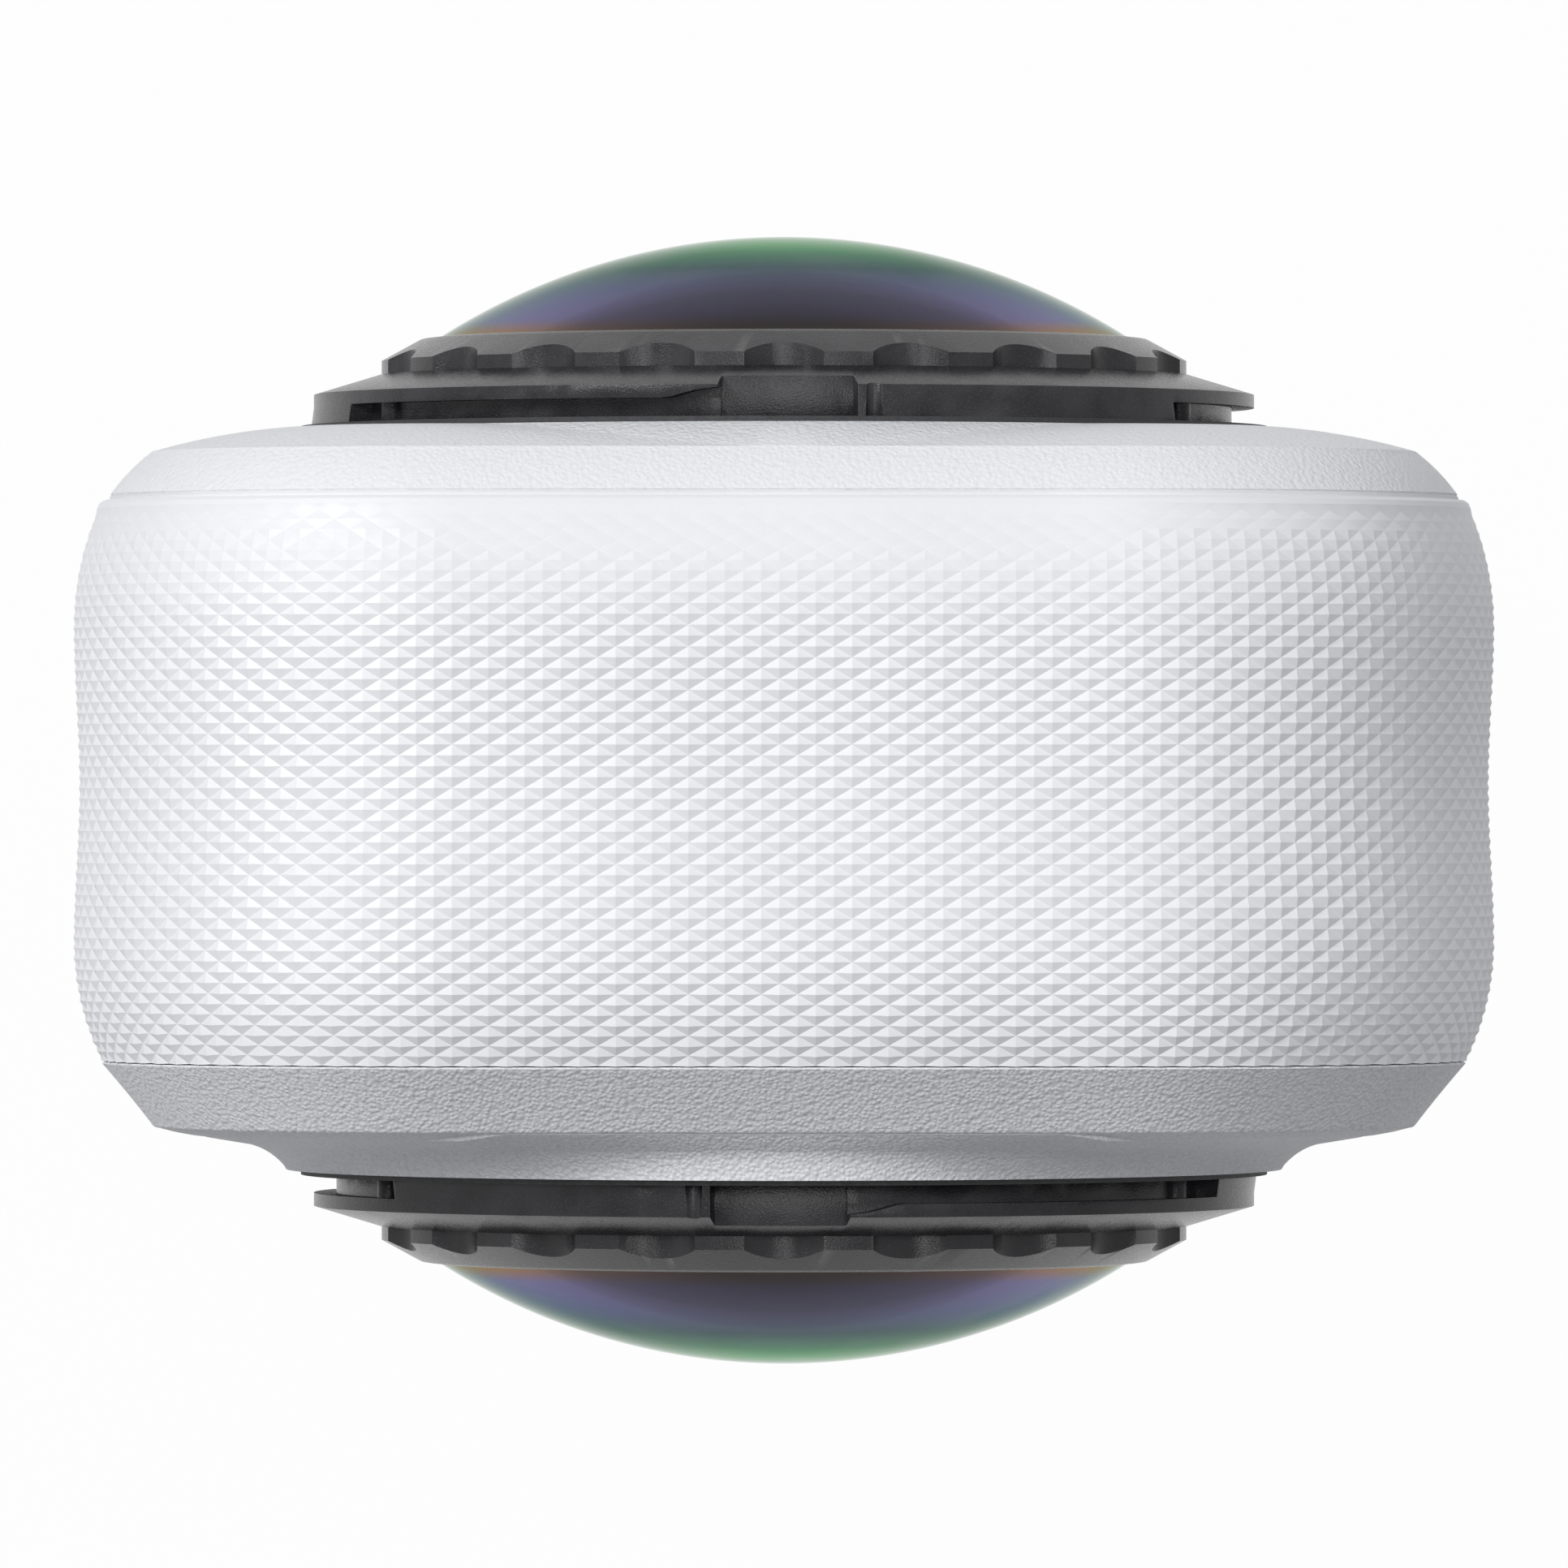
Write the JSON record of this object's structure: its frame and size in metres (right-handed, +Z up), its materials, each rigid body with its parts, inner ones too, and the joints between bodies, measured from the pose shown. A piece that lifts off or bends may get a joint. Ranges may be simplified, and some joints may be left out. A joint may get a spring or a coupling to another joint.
{
  "type": "360 degree camera",
  "caption": "Slim hand-held camera that films all round: twist-off domed lens units on both sides, knurled grip band, screen, side buttons, port door, slide-out battery and tripod thread.",
  "frame": {"origin": "middle of the flat bottom end that the camera stands on", "axes": "+Z up along the body towards the lens end, +Y out of the front (the side without a screen) along the lens axis, +X the side with the buttons and the port door"},
  "size_m": [0.046, 0.037, 0.1138],
  "materials": {
    "grip_band": "white, fine diamond knurl",
    "front_shell": "white, fine grain",
    "rear_shell": "white, coarse grain",
    "collar": "black, fine satin",
    "lens_ring": "black anodised, satin",
    "dome_glass": "coated, green to purple reflections",
    "element_glass": "coated",
    "barrel_black": "black, flat",
    "seal_rubber": "black, moulded",
    "gasket_grey": "light grey, moulded",
    "circuit_board": "solder mask",
    "sensor_glass": "cover glass",
    "light_alloy": "plain",
    "steel": "plain",
    "screen_glass": "black cover glass",
    "display_black": "panel",
    "flat_cable": "polyimide",
    "chip_black": "moulded",
    "inner_plastic": "moulded",
    "contact_metal": "gold plated",
    "battery_wrap": "black wrap",
    "latch_grey": "grey",
    "button_grey": "light grey",
    "button_black": "black",
    "light_guide": "frosted"
  },
  "bodies": {
    "camera": {"grip_frame": "grip_band", "grip_foot": "grip_band", "front_cover": "front_shell", "rear_cover": "rear_shell", "front_gasket": "gasket_grey", "front_collar_gasket": "seal_rubber", "rear_collar_gasket": "seal_rubber", "front_collar": "collar", "rear_collar": "collar", "front_lens_barrel": "barrel_black", "rear_lens_barrel": "barrel_black", "front_inner_element": "element_glass", "rear_inner_element": "element_glass", "front_relay_element": "element_glass", "rear_relay_element": "element_glass", "front_element_retainer": "barrel_black", "rear_element_retainer": "barrel_black", "front_sensor_board": "circuit_board", "rear_sensor_board": "circuit_board", "front_image_sensor": "sensor_glass", "rear_image_sensor": "sensor_glass", "lens_frame": "light_alloy", "lens_frame_screws": "steel", "screen_glass": "screen_glass", "display_panel": "display_black", "display_cable": "flat_cable", "main_board": "circuit_board", "processor": "chip_black", "shield_can": "steel", "heat_spreader": "light_alloy", "battery_bay": "inner_plastic", "battery_contacts": "contact_metal", "card_socket": "steel", "memory_card": "chip_black", "usb_port": "steel", "usb_board": "circuit_board", "usb_door_pin": "steel", "side_switch_board": "circuit_board", "rear_switch_board": "circuit_board", "speaker": "inner_plastic", "microphones": "steel", "antenna": "flat_cable", "status_light_guide": "light_guide", "tripod_socket": "steel"},
    "front_lens": {"front_lens_ring": "lens_ring", "front_lens_dome": "dome_glass", "front_lens_seal": "seal_rubber"},
    "rear_lens": {"rear_lens_ring": "lens_ring", "rear_lens_dome": "dome_glass", "rear_lens_seal": "seal_rubber"},
    "power_button": {"power_button": "button_grey"},
    "quick_button": {"quick_button": "button_grey"},
    "shutter_button": {"shutter_button": "button_black"},
    "lens_switch_button": {"lens_switch_button": "button_black"},
    "usb_door": {"usb_door": "grip_band", "usb_door_seal": "seal_rubber"},
    "battery": {"battery": "battery_wrap", "battery_cover": "grip_band", "battery_seal": "seal_rubber"},
    "battery_latch": {"battery_latch": "latch_grey"}
  },
  "joints": [
    {"name": "front_lens_twist", "type": "hinge", "parent": "camera", "child": "front_lens", "pos_m": [0, 0.01395, 0.0937], "axis": [0, 1, 0], "range_deg": [0, 30]},
    {"name": "rear_lens_twist", "type": "hinge", "parent": "camera", "child": "rear_lens", "pos_m": [0, -0.01395, 0.0937], "axis": [0, -1, 0], "range_deg": [0, 30]},
    {"name": "power_press", "type": "slide", "parent": "camera", "child": "power_button", "axis": [-1, 0, 0], "range_m": [0, 0.0004], "stiffness_N_per_m": 1000},
    {"name": "quick_press", "type": "slide", "parent": "camera", "child": "quick_button", "axis": [-1, 0, 0], "range_m": [0, 0.0004], "stiffness_N_per_m": 1000},
    {"name": "shutter_press", "type": "slide", "parent": "camera", "child": "shutter_button", "axis": [0, 1, 0], "range_m": [0, 0.0004], "stiffness_N_per_m": 1000},
    {"name": "lens_switch_press", "type": "slide", "parent": "camera", "child": "lens_switch_button", "axis": [0, 1, 0], "range_m": [0, 0.0004], "stiffness_N_per_m": 1000},
    {"name": "usb_door_hinge", "type": "hinge", "parent": "camera", "child": "usb_door", "pos_m": [0.02215, 0.00055, 0.01789], "axis": [0, 1, 0], "range_deg": [0, 90]},
    {"name": "battery_slide", "type": "slide", "parent": "camera", "child": "battery", "axis": [-1, 0, 0], "range_m": [0, 0.034]},
    {"name": "battery_latch_slide", "type": "slide", "parent": "battery", "child": "battery_latch", "axis": [0, 0, 1], "range_m": [0, 0.0014]}
  ]
}
